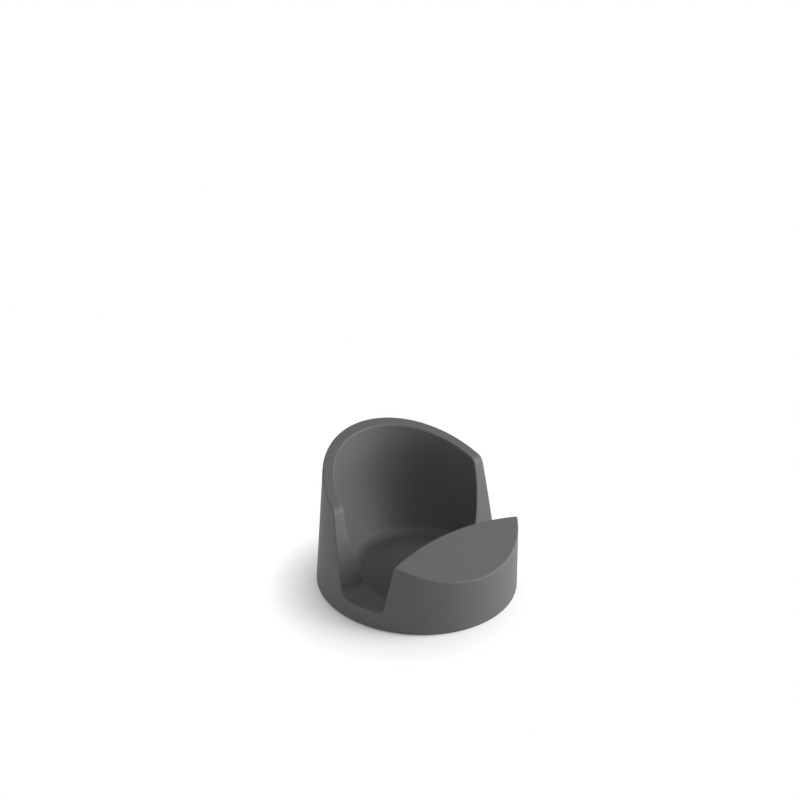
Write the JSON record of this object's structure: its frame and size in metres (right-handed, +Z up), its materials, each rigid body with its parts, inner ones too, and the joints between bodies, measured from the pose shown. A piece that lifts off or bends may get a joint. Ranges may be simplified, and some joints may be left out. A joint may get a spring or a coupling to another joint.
{
  "type": "utensil rest",
  "caption": "Upright utensil rest: a round tapered cup cut on a slant, with a crescent pocket between a high half-cup and a low front block, and notched side walls.",
  "frame": {"origin": "on the table under the middle of the round base, in the plane of the feet", "axes": "+Z up, -Y towards the front with the low block, +X to the right seen from the front"},
  "size_m": [0.11, 0.11, 0.0756],
  "materials": {
    "body": "fine matte charcoal moulding",
    "cover": "matte dark grey moulding",
    "ballast": "bare cast metal",
    "screws": "zinc plated steel",
    "feet": "matte silicone rubber"
  },
  "bodies": {
    "root": {"body_shell": "body", "base_cover": "cover", "ballast_weight": "ballast", "cover_screw_1": "screws", "cover_screw_2": "screws", "cover_screw_3": "screws", "cover_screw_4": "screws", "foot_pad_1": "feet", "foot_pad_2": "feet", "foot_pad_3": "feet", "foot_pad_4": "feet"}
  },
  "joints": []
}
